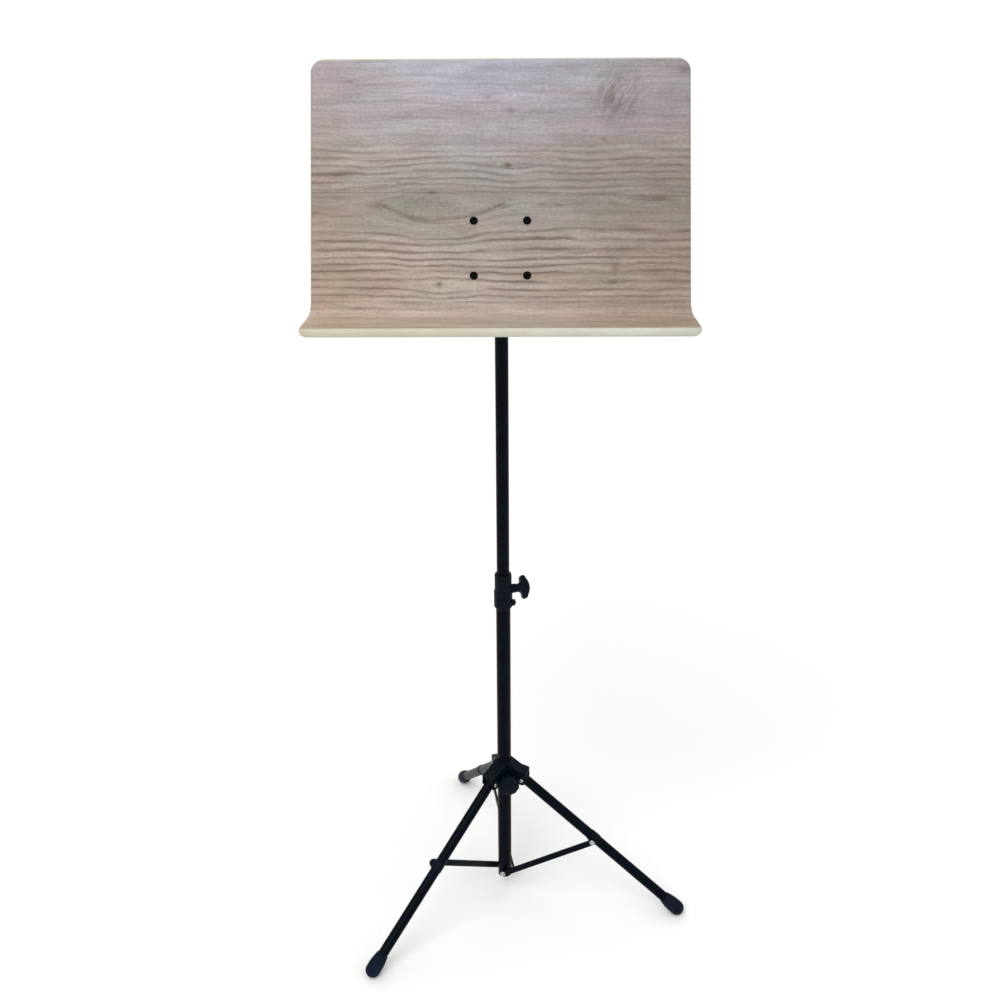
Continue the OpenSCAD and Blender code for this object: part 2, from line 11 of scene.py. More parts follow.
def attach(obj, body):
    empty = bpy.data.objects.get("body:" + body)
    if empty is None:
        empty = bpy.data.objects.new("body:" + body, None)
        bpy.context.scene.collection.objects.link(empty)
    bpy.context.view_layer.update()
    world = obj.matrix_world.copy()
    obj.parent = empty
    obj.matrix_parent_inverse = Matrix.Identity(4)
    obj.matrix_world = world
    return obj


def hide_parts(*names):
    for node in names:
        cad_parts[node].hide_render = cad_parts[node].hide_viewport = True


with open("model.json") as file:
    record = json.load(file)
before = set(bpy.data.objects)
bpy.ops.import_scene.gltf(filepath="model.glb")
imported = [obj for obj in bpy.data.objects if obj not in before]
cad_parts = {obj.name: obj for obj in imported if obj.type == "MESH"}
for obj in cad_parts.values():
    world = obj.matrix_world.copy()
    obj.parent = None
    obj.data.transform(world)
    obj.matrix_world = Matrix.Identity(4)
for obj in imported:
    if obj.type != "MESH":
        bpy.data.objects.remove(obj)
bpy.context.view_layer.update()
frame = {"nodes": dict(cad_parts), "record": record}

MM = 0.001
LEGS = ("left", "right", "rear")
RECORD = frame["record"]
BODY_OF = {node: body for body, nodes in RECORD["behaviour"]["bodies"].items() for node in nodes}
SLOT_OF = {part["node"]: part["material_slot"] for part in RECORD["subparts"]}
JOINTS = {joint["name"]: joint for joint in RECORD["behaviour"]["joints"]}
MOUNTS = {mount["name"]: mount for mount in RECORD["mounts"]}

# ---------------------------------------------------------------- camera

# The place and the clipping are in metres, the angles in degrees, and the lens and sensor in millimetres.
CAMERA_PLACE = (0.0224, -1.6685, 1.4559)
CAMERA_YAW = 0.90
CAMERA_PITCH = 23.94
CAMERA_ROLL = -0.42
CAMERA_LENS = 44.62
SENSOR_WIDTH = 36.0
CLIP_NEAR, CLIP_FAR = 0.05, 500.0


def make_camera():
    """The camera stands in front of the desk, above it, and looks down."""
    cam = bpy.data.objects.new("camera", bpy.data.cameras.new("camera"))
    bpy.context.scene.collection.objects.link(cam)
    cam.data.lens = CAMERA_LENS
    cam.data.sensor_width = SENSOR_WIDTH
    cam.data.clip_start = CLIP_NEAR
    cam.data.clip_end = CLIP_FAR
    yaw = Matrix.Rotation(math.radians(CAMERA_YAW), 4, "Z")
    pitch = Matrix.Rotation(math.radians(90 - CAMERA_PITCH), 4, "X")
    roll = Matrix.Rotation(math.radians(CAMERA_ROLL), 4, "Z")
    cam.matrix_world = Matrix.Translation(CAMERA_PLACE) @ (yaw @ pitch) @ roll
    bpy.context.scene.camera = cam


# ---------------------------------------------------------------- shader tools


class Shader:
    """A material's node tree, with arithmetic on sockets."""

    def __init__(self, name):
        self.material = bpy.data.materials.new(name)
        self.material.use_nodes = True
        self.tree = self.material.node_tree
        self.bsdf = next(n for n in self.tree.nodes if n.type == "BSDF_PRINCIPLED")

    def node(self, kind, **settings):
        made = self.tree.nodes.new(kind)
        for key, value in settings.items():
            setattr(made, key, value)
        return made

    def put(self, socket, value):
        """Links an input to another node's output, or sets it to a plain value."""
        if isinstance(value, bpy.types.NodeSocket):
            self.tree.links.new(value, socket)
        else:
            socket.default_value = value

    def math(self, operation, *values):
        made = self.node("ShaderNodeMath", operation=operation)
        for socket, value in zip(made.inputs, values):
            self.put(socket, value)
        return made.outputs[0]

    def add(self, a, b):
        return self.math("ADD", a, b)

    def sub(self, a, b):
        return self.math("SUBTRACT", a, b)

    def mul(self, a, b):
        return self.math("MULTIPLY", a, b)

    def div(self, a, b):
        return self.math("DIVIDE", a, b)

    def most(self, a, b):
        return self.math("MAXIMUM", a, b)

    def size(self, value):
        return self.math("ABSOLUTE", value)

    def square(self, value):
        return self.mul(value, value)

    def fall(self, value):
        """1 at 0, and nearer to 0 the larger the value is."""
        return self.math("EXPONENT", self.mul(value, -1.0))

    def band(self, value, low, high):
        """0 below low, 1 above high, smooth between."""
        made = self.node("ShaderNodeMapRange", interpolation_type="SMOOTHSTEP")
        self.put(made.inputs["Value"], value)
        made.inputs["From Min"].default_value = low
        made.inputs["From Max"].default_value = high
        return made.outputs[0]

    def vector(self, x, y, z):
        made = self.node("ShaderNodeCombineXYZ")
        for socket, value in zip(made.inputs, (x, y, z)):
            self.put(socket, value)
        return made.outputs[0]

    def place(self):
        """A point's place on the object, in metres."""
        return self.node("ShaderNodeTexCoord").outputs["Object"]

    def sheet_place(self):
        """A point's places across, up and deep in the desk's sheet before it was bent, in metres."""
        sheet = self.node("ShaderNodeAttribute", attribute_name="sheet")
        split = self.node("ShaderNodeSeparateXYZ")
        self.put(split.inputs[0], sheet.outputs["Vector"])
        return split.outputs

    def noise(self, at, scale, detail, rough=0.5, twist=0.0):
        made = self.node("ShaderNodeTexNoise")
        self.put(made.inputs["Vector"], at)
        made.inputs["Scale"].default_value = scale
        made.inputs["Detail"].default_value = detail
        made.inputs["Roughness"].default_value = rough
        made.inputs["Distortion"].default_value = twist
        return made.outputs["Fac"]

    def ramp(self, value, stops):
        """A grey level or a colour for each value, each stop (value, level or colour)."""
        made = self.node("ShaderNodeValToRGB")
        self.put(made.inputs[0], value)
        points = made.color_ramp.elements
        while len(points) < len(stops):
            points.new(0.5)
        for point, (at, colour) in zip(points, stops):
            point.position = at
            point.color = (*colour, 1) if isinstance(colour, tuple) else (*grey(colour), 1)
        return made.outputs[0]

    def along(self, value, low, high, rows):
        """A ramp from low to high, each row (place, level or colour)."""
        span = high - low
        stops = tuple(((at - low) / span, level) for at, level in rows)
        return self.ramp(self.div(self.sub(value, low), span), stops)

    def mix(self, share, a, b, blend="MIX"):
        made = self.node("ShaderNodeMix", data_type="RGBA", blend_type=blend)
        factor, first, second = made.inputs[0], made.inputs[6], made.inputs[7]
        self.put(factor, share)
        self.put(first, a if isinstance(a, bpy.types.NodeSocket) else (*a, 1))
        self.put(second, b if isinstance(b, bpy.types.NodeSocket) else (*b, 1))
        return made.outputs[2]

    def times(self, a, b):
        """One colour multiplied by another."""
        return self.mix(1.0, a, b, "MULTIPLY")

    def bump(self, height, strength, distance):
        made = self.node("ShaderNodeBump")
        made.inputs["Strength"].default_value = strength
        made.inputs["Distance"].default_value = distance
        self.put(made.inputs["Height"], height)
        self.put(self.bsdf.inputs["Normal"], made.outputs[0])

    def set(self, **values):
        """Sets the shader's own inputs, as in set(base_color=..., roughness=...)."""
        for key, value in values.items():
            socket = self.bsdf.inputs[key.replace("_", " ").title()]
            self.put(socket, (*value, 1) if isinstance(value, tuple) else value)

    def specular(self, level):
        self.bsdf.inputs["Specular IOR Level"].default_value = level


def grey(level):
    return (level, level, level)


def srgb(*levels):
    """A colour from its display levels, 0 to 255."""
    def linear(level):
        share = level / 255
        return share / 12.92 if share <= 0.04045 else ((share + 0.055) / 1.055) ** 2.4

    return tuple(linear(level) for level in levels)


# ---------------------------------------------------------------- black parts and metal

# Each dark coat: colour, roughness, grains to the metre, strength of its skin, how much lighter its pale
# patches are, and specular level.
COATS = {
    # The blue in the steel, plastic and rubber colours is painted sheen, standing in for the bluish light
    # their faces reflect.
    "black_steel": ((0.0006, 0.0020, 0.0046), 0.36, 1400, 0.18, 1.8, 0.045),
    "black_plastic": ((0.0012, 0.0032, 0.0068), 0.44, 2300, 0.28, 1.7, 0.06),
    "foot_rubber": ((0.0012, 0.0046, 0.0120), 0.58, 900, 0.30, 1.9, 0.09),
    "nylon": ((0.003, 0.0032, 0.0038), 0.50, 1600, 0.12, 1.6, 0.1),
    "black_screws": ((0.0012, 0.0012, 0.0012), 0.34, 1800, 0.10, 1.6, 0.06),
}
# Each bare metal: colour and roughness.
METALS = {
    "zinc_steel": ((0.50, 0.52, 0.54), 0.38),
    "brass": ((0.72, 0.52, 0.22), 0.34),
}


def black_coat(name, colour, rough, grain, skin, lift, specular):
    """Dark paint, plastic or rubber: mottled colour, uneven gloss and a fine skin."""
    s = Shader(name)
    at = s.place()
    wide = s.noise(at, scale=38, detail=3)
    fine = s.noise(at, scale=grain, detail=3, rough=0.6)
    pale = tuple(c * lift for c in colour)
    drift = 0.08
    s.set(base_color=s.mix(s.band(wide, 0.3, 0.75), colour, pale))
    s.set(roughness=s.add(rough - drift, s.mul(s.add(wide, fine), drift)))
    s.specular(specular)
    s.bump(fine, strength=skin, distance=0.00015)
    return s.material


def metal(name, colour, rough):
    """Plated or turned metal: fine grain, cloudy patches, uneven gloss."""
    s = Shader(name)
    grain = s.noise(s.place(), scale=900, detail=2, rough=0.6)
    cloud = s.noise(s.place(), scale=120, detail=3)
    shade = 0.7
    deep = tuple(c * shade for c in colour)
    s.set(base_color=s.mix(s.band(cloud, 0.3, 0.7), deep, colour), metallic=1.0)
    s.set(roughness=s.add(rough - 0.1, s.mul(s.add(grain, cloud), 0.12)))
    s.bump(grain, strength=0.15, distance=0.00005)
    return s.material


# ---------------------------------------------------------------- board edge

CREAM = srgb(192, 186, 163)
CREAM_LIGHT = srgb(202, 197, 175)
PALE = srgb(191, 189, 178)
PALE_LIGHT = srgb(201, 200, 191)
FIBRE = srgb(176, 170, 149)
# The colour of the board's back is a painted shade of the cream.
PAINTED_SHADE_BACK = srgb(182, 180, 162)
# Noise cells to the metre along the board, and to the metre of its thickness.
FIBRES_ALONG = 60
FIBRES_DEEP = 700
# Where the cream turns paler, from left to right, and where painted shade darkens it, from front to back.
PALE_FROM, PALE_TO = -0.2, 0.25
BACK_SHADE_FROM, BACK_SHADE_TO = 0.0085, 0.0125


def board_edge():
    """Lacquered fibre board: cream, faintly mottled and layered, with painted shade on its back."""
    s = Shader("board_edge")
    across, up, deep = s.sheet_place()
    layers = s.vector(s.mul(across, FIBRES_ALONG), s.mul(up, FIBRES_ALONG), s.mul(deep, FIBRES_DEEP))
    fibres = s.noise(layers, scale=1, detail=3, rough=0.6)
    patches = s.band(s.noise(s.place(), scale=14, detail=2), 0.3, 0.7)
    colour = s.mix(
        s.band(across, PALE_FROM, PALE_TO),
        s.mix(patches, CREAM, CREAM_LIGHT),
        s.mix(patches, PALE, PALE_LIGHT),
    )
    colour = s.mix(s.mul(s.band(fibres, 0.45, 0.8), 0.45), colour, FIBRE)
    # The back of the board is darkened with painted shade, where its rounded lower edge lies in shade.
    colour = s.mix(s.mul(s.band(deep, BACK_SHADE_FROM, BACK_SHADE_TO), 0.8), colour, PAINTED_SHADE_BACK)
    s.set(base_color=colour, roughness=s.add(0.38, s.mul(fibres, 0.2)))
    s.specular(0.4)
    s.bump(fibres, strength=0.2, distance=0.00008)
    return s.material


# ---------------------------------------------------------------- printed pine

# Places are in metres on the flat sheet: across from its middle, and up from the tilt pivot's level. The
# tables cover it from SHEET_LOW to SHEET_HIGH, and out to SHEET_SIDE.
SHEET_LOW, SHEET_HIGH = -0.18, 0.27
SHEET_SIDE = 0.26

# Eyes that the lines part round: middle across, middle up, half length, half height. The lens is the large
# one, and its half height is this many times as high above its middle and below it.
LENS = (-0.074, 0.0640, 0.082, 0.019)
LENS_ABOVE, LENS_BELOW = 0.45, 1.45
EYES = (
    (0.010, 0.109, 0.034, 0.0045),
    (-0.080, -0.047, 0.045, 0.006),
    (0.203, 0.064, 0.055, 0.008),
)
# How far beyond their outlines the lines close again.
LENS_REACH = 0.022
EYE_REACH = 0.012
# The lens fades in between these shares of its size, keeps this share of the lines, and has a dark rim.
LENS_EDGE = (0.85, 1.15)
LENS_LINES = 0.15
RIM_SHARPNESS = 6.0
RIM_STRENGTH = 0.85

# Fine noises follow the lines by this share, and the sheet by the rest.
FOLLOW = 0.6
# Waves of the lines: how wide they swing a line, then cells to the metre across and up, and seed.
WAVES = (
    (0.016, 4.5, 10, 0.0),
    (0.0085, 13, 30, 12.0),
    (0.0032, 38, 90, 3.0),
)
# Slow noises of the sheet: cells to the metre across and up, seed.
DRIFT = (11, 24, 4.0)
CLOUDS = (22, 60, 11.0)
# Noises that follow the lines: cells to the metre across and up, seed, detail, roughness.
GAPS = (13, 110, 1.0, 3.0, 0.65)
FAINT_GAPS = (17, 150, 14.0, 3.0, 0.6)
BROAD_STREAKS = (7, 48, 15.0, 3.0, 0.6)
STREAKS = (14, 560, 2.0, 4.0, 0.65)
HAIRS = (95, 900, 5.0, 3.0, 0.7)
FLECKS = (190, 330, 8.0, 2.0, 0.6)
PORES = (150, 800, 9.0, 2.0, 0.6)

# Late-wood lines: height up the sheet, and how many lines lie below it.
RINGS = (
    (-0.160, 0), (-0.070, 10), (-0.0625, 11), (-0.053, 12), (-0.042, 13), (-0.030, 14), (-0.0215, 15),
    (-0.013, 16), (-0.002, 17), (0.010, 18), (0.022, 19), (0.070, 23), (0.136, 30), (0.270, 42),
)
# How dark the lines are: height up the sheet, strength.
RING_DEPTH = (
    (-0.160, 0.20), (-0.078, 0.35), (-0.064, 0.85), (-0.050, 1.1), (0.020, 1.15), (0.030, 0.35),
    (0.062, 0.28), (0.074, 0.72), (0.095, 0.92), (0.122, 0.78), (0.140, 0.24), (0.270, 0.16),
)
# Across a ring, from midway below its line to midway above it: how dark the late wood is, and how pale the
# early wood is. Then how dark a faint line is across its own spacing, and how many there are to a ring.
LATE_WOOD = (
    (0.0, 0.02), (0.18, 0.10), (0.34, 0.48), (0.45, 1.0), (0.55, 0.95), (0.70, 0.34), (0.86, 0.05),
)
EARLY_WOOD = ((0.0, 1.0), (0.3, 0.15), (0.6, 0.0), (0.74, 0.55), (0.9, 1.0))
FAINT_WOOD = ((0.0, 0.0), (0.3, 0.1), (0.5, 1.0), (0.7, 0.0))
FAINT_TO_A_RING = 2.37
FAINT_START = 0.2
FAINT_STRENGTH = 0.55

# Knots and flecks: middle across, middle up, half length, half height, strength.
SPOTS = (
    (-0.199, 0.219, 0.010, 0.0026, 0.30), (-0.017, 0.198, 0.004, 0.003, 0.22),
    (0.010, 0.109, 0.005, 0.0038, 0.50), (-0.080, -0.047, 0.0045, 0.0042, 0.50),
    (0.014, 0.180, 0.006, 0.003, 0.30), (0.110, 0.153, 0.005, 0.003, 0.22),
    (0.136, 0.142, 0.003, 0.0025, 0.34), (0.205, 0.064, 0.022, 0.0035, 0.32),
    (0.242, 0.232, 0.009, 0.006, 0.34), (-0.090, 0.073, 0.006, 0.0018, 0.50),
    (0.150, -0.027, 0.004, 0.007, 0.28), (0.147, -0.045, 0.006, 0.003, 0.22),
    (0.055, 0.057, 0.006, 0.002, 0.35), (0.075, 0.056, 0.006, 0.002, 0.32),
    (0.049, 0.014, 0.009, 0.003, 0.30), (-0.134, 0.086, 0.0028, 0.002, 0.34),
    (-0.150, 0.056, 0.006, 0.003, 0.34), (-0.185, -0.079, 0.014, 0.002, 0.26),
    (0.205, 0.105, 0.050, 0.014, 0.14), (-0.215, 0.096, 0.022, 0.004, 0.40),
    (-0.163, 0.057, 0.010, 0.005, 0.35), (-0.244, 0.047, 0.006, 0.002, 0.34),
    (-0.205, 0.100, 0.012, 0.003, 0.26), (0.000, 0.056, 0.010, 0.0025, 0.30),
)
SPOT_GAIN = 2.2

# The seam: height up the sheet at its left, how far it sinks towards its right, half thickness, strength.
SEAM_UP = 0.0735
SEAM_SINK = 0.0065
SEAM_HALF = 0.0009
SEAM_STRENGTH = 0.85

# The feather of leaning strokes: its middle and lean, the noise cells to the metre across and along its
# strokes, how fast it fades each way, and its strength.
FEATHER = (0.151, 0.199)
FEATHER_LEAN = math.radians(58)
FEATHER_CELLS_ACROSS = 170
FEATHER_CELLS_ALONG = 38
FEATHER_FADE_ACROSS = 1200
FEATHER_FADE_ALONG = 1100
FEATHER_STRENGTH = 0.9

# The print's colour at each height up the sheet, lightened on the lip's rows by painted light, and what it
# is multiplied by at each place across.
TONE_AND_LIP_LIGHT_UP = (
    # The first two rows, on the lip, carry painted light where the lip's top faces up.
    (-0.165, srgb(180, 165, 147)), (-0.100, srgb(184, 167, 155)), (-0.088, srgb(186, 170, 160)),
    (-0.060, srgb(174, 159, 148)), (-0.030, srgb(169, 156, 145)), (0.010, srgb(163, 152, 144)),
    (0.060, srgb(147, 141, 136)), (0.125, srgb(162, 154, 153)), (0.165, srgb(162, 155, 161)),
    (0.250, srgb(170, 167, 179)),
)
TONE_ACROSS = (
    (-0.230, (0.985, 0.92, 0.85)), (-0.150, (1.01, 1.00, 0.975)), (-0.090, (1.02, 1.03, 1.035)),
    (-0.030, (0.98, 1.00, 1.02)), (0.030, (0.955, 0.975, 1.00)), (0.090, (0.90, 0.89, 0.89)),
    (0.150, (0.835, 0.805, 0.78)), (0.240, (0.785, 0.74, 0.705)),
)
LENS_TINT = (0.925, 0.95, 0.92)
EARLY_TINT = (1.10, 1.105, 1.11)
PORE_COLOUR = srgb(118, 103, 96)
PORE_STRENGTH = 0.22
DARK_COLOUR = srgb(96, 75, 68)
DARK_STRENGTH = 0.66
DARK_LIMIT = 0.85


class Pine(Shader):
    """The print's shader: places on the sheet, the lines' path across it, and noise that follows it."""

    def __init__(self, name):
        super().__init__(name)
        self.across, self.up, _ = self.sheet_place()
        path = self.up
        for size, *wave in WAVES:
            path = self.add(path, self.mul(self.sub(self.cells(self.up, *wave), 0.5), size))
        path, self.out_of_lens = self.part(path, LENS, LENS_REACH, LENS_ABOVE, LENS_BELOW)
        for eye in EYES:
            path, _ = self.part(path, eye, EYE_REACH, 1.0, 1.0)
        self.path = path
        self.fine_path = self.add(self.mul(path, FOLLOW), self.mul(self.up, 1 - FOLLOW))
        self.gaps = self.cells(self.fine_path, *GAPS)

    def cells(self, height, wide, high, seed, detail=2.0, rough=0.5):
        """Noise with so many cells to the metre across and up."""
        at = self.vector(self.mul(self.across, wide), self.mul(height, high), seed)
        return self.noise(at, 1, detail, rough)

    def part(self, path, eye, reach, above, below):
        """The path parted round an eye, and how far out of the eye a point is: 1 on its outline.

        The path parts so many half heights above and below, and closes again beyond the reach.
        """
        mid_x, mid_y, long, high = eye
        off = self.square(self.div(self.sub(self.across, mid_x), long))
        half = self.mul(self.fall(self.mul(off, self.add(off, 0.5))), high)
        away = self.sub(path, mid_y)
        is_above = self.math("GREATER_THAN", away, 0.0)
        half = self.mul(half, self.add(below, self.mul(is_above, above - below)))
        far = self.size(away)
        beyond = self.most(self.sub(far, half), 0.0)
        closing = self.fall(self.mul(beyond, 1 / reach))
        moved = self.most(self.sub(far, self.mul(half, closing)), 0.0)
        parted = self.add(self.mul(self.math("SIGN", away), moved), mid_y)
        return parted, self.div(far, self.most(half, 1e-5))

    def by_height(self, height, rows):
        """A value that changes with height, each row (height, value)."""
        return self.along(height, SHEET_LOW, SHEET_HIGH, rows)

    def rings(self):
        """How many late-wood lines lie below a point."""
        count = RINGS[-1][1]
        shares = tuple((at, number / count) for at, number in RINGS)
        return self.mul(self.by_height(self.path, shares), count)

    def late_wood(self, ring, turn):
        """The late-wood lines, and the fainter ones between them, broken here and there."""
        late = self.mul(self.ramp(turn, LATE_WOOD), self.band(self.gaps, 0.30, 0.60))
        faint_turn = self.math("FRACT", self.add(self.mul(ring, FAINT_TO_A_RING), FAINT_START))
        faint = self.mul(self.ramp(faint_turn, FAINT_WOOD), FAINT_STRENGTH)
        kept = self.band(self.cells(self.fine_path, *FAINT_GAPS), 0.42, 0.62)
        return self.most(late, self.mul(faint, kept))

    def lens_rim(self):
        """The dark line round the lens, which ends where the lens does."""
        off = self.mul(self.sub(self.out_of_lens, 1.0), RIM_SHARPNESS)
        beside = self.size(self.div(self.sub(self.across, LENS[0]), LENS[2]))
        near = self.sub(1.0, self.band(beside, *LENS_EDGE))
        strength = self.mul(self.band(self.gaps, 0.25, 0.6), RIM_STRENGTH)
        return self.mul(self.mul(self.fall(self.square(off)), near), strength)

    def seam(self):
        """The dark line across the sheet that sinks a little towards its right side."""
        seam_up = self.sub(SEAM_UP, self.mul(self.band(self.across, 0.0, 0.24), SEAM_SINK))
        wavy_up = self.add(self.up, self.mul(self.sub(self.path, self.fine_path), 0.1))
        off = self.div(self.sub(wavy_up, seam_up), SEAM_HALF)
        line = self.mul(self.fall(self.square(off)), self.band(self.gaps, 0.15, 0.5))
        return self.mul(line, SEAM_STRENGTH)

    def spots(self):
        """Knots and flecks."""
        total = None
        for mid_x, mid_y, long, high, strength in SPOTS:
            x = self.div(self.sub(self.across, mid_x), long)
            y = self.div(self.sub(self.up, mid_y), high)
            spot = self.mul(self.fall(self.add(self.square(x), self.square(y))), strength * SPOT_GAIN)
            total = spot if total is None else self.add(total, spot)
        return self.mul(total, self.add(0.5, self.gaps))

    def feather(self):
        """A patch of short leaning strokes."""
        x = self.sub(self.across, FEATHER[0])
        y = self.sub(self.up, FEATHER[1])
        sine, cosine = math.sin(FEATHER_LEAN), math.cos(FEATHER_LEAN)
        slant = self.sub(self.mul(x, sine), self.mul(y, cosine))
        run = self.add(self.mul(x, cosine), self.mul(y, sine))
        at = self.vector(self.mul(slant, FEATHER_CELLS_ACROSS), self.mul(run, FEATHER_CELLS_ALONG), 6.0)
        strokes = self.noise(at, scale=1, detail=3, rough=0.6, twist=0.8)
        far = self.add(
            self.mul(self.square(slant), FEATHER_FADE_ACROSS),
            self.mul(self.square(run), FEATHER_FADE_ALONG),
        )
        return self.mul(self.mul(self.band(strokes, 0.43, 0.60), self.fall(far)), FEATHER_STRENGTH)

    def swing(self, value, limits, low, high):
        """A multiplier that goes from low to high as the value goes from one limit to the other."""
        return self.mix(self.band(value, *limits), low, high)


def wood_print():
    """Printed pine: late-wood lines that part round eyes, pores, knots and a slow drift of tone."""
    s = Pine("wood_laminate")
    ring = s.rings()
    turn = s.math("FRACT", s.add(ring, 0.5))
    outside = s.band(s.out_of_lens, *LENS_EDGE)
    kept = s.add(LENS_LINES, s.mul(outside, 1 - LENS_LINES))
    depth = s.mul(s.by_height(s.path, RING_DEPTH), kept)
    dark = s.add(s.mul(s.late_wood(ring, turn), depth), s.lens_rim())
    dark = s.most(dark, s.seam())
    dark = s.add(dark, s.add(s.spots(), s.feather()))

    streaks = s.cells(s.fine_path, *STREAKS)
    pores = s.band(s.cells(s.fine_path, *PORES), 0.60, 0.76)
    early = s.mul(s.mul(s.ramp(turn, EARLY_WOOD), depth), 0.9)

    # The print's tone up the sheet, with painted light on the lip.
    colour = s.by_height(s.up, TONE_AND_LIP_LIGHT_UP)
    for change in (
        s.along(s.across, -SHEET_SIDE, SHEET_SIDE, TONE_ACROSS),
        s.swing(s.cells(s.up, *DRIFT), (0.36, 0.64), (0.955, 1.0, 0.97), (1.04, 0.99, 0.985)),
        s.swing(s.cells(s.up, *CLOUDS), (0.35, 0.65), (0.95, 0.95, 0.955), (1.05, 1.05, 1.045)),
        s.swing(s.cells(s.fine_path, *BROAD_STREAKS), (0.36, 0.62), (0.90, 0.875, 0.85), grey(1.045)),
        s.swing(streaks, (0.34, 0.66), (0.89, 0.89, 0.885), (1.10, 1.10, 1.105)),
        s.swing(s.cells(s.fine_path, *HAIRS), (0.34, 0.68), grey(0.93), grey(1.07)),
        s.swing(s.cells(s.fine_path, *FLECKS), (0.34, 0.68), grey(0.92), grey(1.08)),
        s.mix(early, grey(1.0), EARLY_TINT),
        s.mix(s.sub(1.0, outside), grey(1.0), LENS_TINT),
    ):
        colour = s.times(colour, change)
    colour = s.mix(s.mul(pores, PORE_STRENGTH), colour, PORE_COLOUR)
    colour = s.mix(s.math("MINIMUM", s.mul(dark, DARK_STRENGTH), DARK_LIMIT), colour, DARK_COLOUR)
    s.set(base_color=colour, roughness=s.add(0.50, s.mul(streaks, 0.16)))
    s.specular(0.35)
    s.bump(s.sub(streaks, s.add(s.mul(dark, 0.5), s.mul(pores, 0.4))), strength=0.22, distance=0.00012)
    return s.material


MATERIALS = {name: black_coat(name, *looks) for name, looks in COATS.items()}
MATERIALS.update({name: metal(name, *looks) for name, looks in METALS.items()})
MATERIALS["board_edge"] = board_edge()
MATERIALS["wood_laminate"] = wood_print()

# ---------------------------------------------------------------- pieces

# How near a CAD mesh's points are when they are one point, and the turn below which its faces are one flat.
WELD = 2e-6
FLAT_TURN = math.radians(0.4)
# The turns above which an edge is broken, and above which it is still shaded as an edge.
BROKEN_TURN = math.radians(35)
EDGE_TURN = math.radians(32)


def finish_piece(name, mesh, node):
    """Shows the mesh in place of its CAD node, on the node's body and with its material."""
    piece = bpy.data.objects.new(name, mesh)
    bpy.context.scene.collection.objects.link(piece)
    mesh.materials.clear()
    mesh.materials.append(MATERIALS[SLOT_OF[node]])
    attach(piece, BODY_OF[node])
    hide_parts(node)


def mesh_of(bm, name):
    """The finished bmesh as a mesh."""
    mesh = bpy.data.meshes.new(name)
    bm.to_mesh(mesh)
    bm.free()
    return mesh


def cad_copy(node):
    """The CAD node's mesh with its seams welded and its flats merged."""
    bm = bmesh.new()
    bm.from_mesh(frame["nodes"][node].data)
    bmesh.ops.remove_doubles(bm, verts=bm.verts, dist=WELD)
    bmesh.ops.dissolve_limit(bm, angle_limit=FLAT_TURN, verts=bm.verts, edges=bm.edges)
    return mesh_of(bm, node + "_form")


def baked(mesh, *modifiers):
    """The mesh after the modifiers, each (type, settings)."""
    holder = bpy.data.objects.new("holder", mesh)
    bpy.context.scene.collection.objects.link(holder)
    for kind, settings in modifiers:
        modifier = holder.modifiers.new(kind.lower(), kind)
        for key, value in settings.items():
            setattr(modifier, key, value)
    view = holder.evaluated_get(bpy.context.evaluated_depsgraph_get())
    result = bpy.data.meshes.new_from_object(view)
    bpy.data.objects.remove(holder)
    return result


def moulded(node, form, voxel, rounds, keep):
    """A node's form with every edge softly rounded, as moulding leaves it."""
    mesh = baked(
        form,
        ("TRIANGULATE", {}),
        ("REMESH", {"mode": "VOXEL", "voxel_size": voxel, "use_smooth_shade": True}),
        ("SMOOTH", {"factor": 0.5, "iterations": rounds}),
        ("DECIMATE", {"ratio": keep}),
    )
    mesh.shade_smooth()
    finish_piece(node + "_moulded", mesh, node)


def broken_edges(node, form, width):
    """A node's form with its sharp edges broken."""
    bevel = {"width": width, "segments": 2, "limit_method": "ANGLE", "angle_limit": BROKEN_TURN}
    mesh = baked(form, ("BEVEL", bevel))
    mesh.shade_smooth()
    mesh.set_sharp_from_angle(angle=EDGE_TURN)
    finish_piece(node + "_finished", mesh, node)


# ---------------------------------------------------------------- desk

# The sheet leans back by TILT, and the pivot it tilts about is PIVOT_BACK behind its front surface.
TILT = math.radians(24)
PIVOT_Z = JOINTS["desk_tilt"]["pos_m"][2]
PIVOT_BACK = 0.0558
# The panel's top is TOP above the pivot's level, and the bend's corner DROP below it.
HALF_WIDTH = 0.250
TOP = 0.2505
DROP = 0.088
TOP_CORNER = 0.018
LIP_CORNER = 0.014
SHEET_THICK = 0.0128
PRINT_THICK = 0.0003
# The bend, and how far the lip reaches from the bend's corner.
BEND_R = 0.016
BEND_TURN = math.radians(70)
REACH = 0.080
TANGENT = BEND_R * math.tan(BEND_TURN / 2)
BEND_START = TANGENT - DROP
BEND_END = BEND_START - BEND_R * BEND_TURN
SHEET_END = BEND_END - (REACH - TANGENT)
# Each side flares out by FLARE, along an arc that starts at FLARE_TOP and is FLARE_DROP high.
FLARE = 0.0045
FLARE_TOP = -0.071
FLARE_DROP = 0.020
FLARE_R = (FLARE_DROP**2 + FLARE**2) / (2 * FLARE)
# The rounding of the board's front and back edges.
FRONT_ROUND = 0.0050
BACK_ROUND = 0.0072
# The cream border round the print, at its sides and at its ends, and how far in the print's curve ends.
BORDER_SIDE = 0.0011
BORDER_END = 0.0032
PRINT_CURVE = 0.0062
# How far the print is let into the board, and how far its outer edge is eased back.
PRINT_SUNK = 0.00005
PRINT_EASE = 0.0001
# Steps of the outline's corners, of the edge's rounds and of the bend.
LIP_STEPS = 12
TOP_STEPS = 16
EDGE_STEPS = 8
BEND_STEPS = 12
# The outline's points are FLARE_STEP apart up to FLARE_LEAD above the flare, then one at each flat row.
FLARE_STEP = 0.0015
FLARE_LEAD = 0.004
FLAT_ROWS = (0.0, 0.1)
# The rows of faces next to the bend, above it and below it.
BEND_LEAD = 0.004
BEND_TAIL = 0.006


